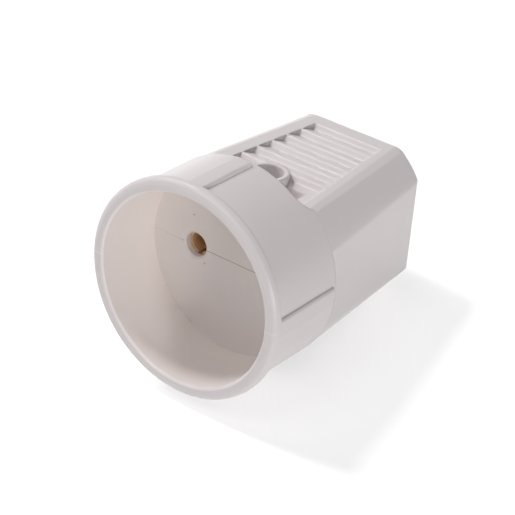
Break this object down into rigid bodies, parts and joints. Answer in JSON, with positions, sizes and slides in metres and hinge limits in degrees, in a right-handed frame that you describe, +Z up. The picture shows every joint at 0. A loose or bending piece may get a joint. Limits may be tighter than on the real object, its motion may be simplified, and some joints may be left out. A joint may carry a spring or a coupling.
{
  "type": "inline socket connector",
  "caption": "White plastic inline mains socket for the end of a cord: round recess with pin holes, tapered ribbed tail in halves held by a screw, and a round cord inlet.",
  "frame": {"origin": "centre of the mouth, in the plane of the lip's front face", "axes": "+Z up, +Y rearward towards the cord inlet, +X to the right seen from the mouth; the connector lies on its lower ridge and the end of its tail, so its own axis falls rearward by 9.88 degrees"},
  "size_m": [0.0456, 0.0613, 0.0473],
  "materials": {
    "housing_plastic": "satin moulded",
    "contact_brass": "turned",
    "screw_steel": "zinc plated"
  },
  "bodies": {
    "root": {"upper_housing": "housing_plastic", "lower_housing": "housing_plastic", "contact_left": "contact_brass", "contact_right": "contact_brass", "contact_spring_left": "screw_steel", "contact_spring_right": "screw_steel", "terminal_screw_left": "screw_steel", "terminal_screw_right": "screw_steel", "housing_screw": "screw_steel", "housing_nut": "screw_steel", "clamp_bar": "screw_steel", "clamp_screw_left": "screw_steel", "clamp_screw_right": "screw_steel"}
  },
  "joints": []
}
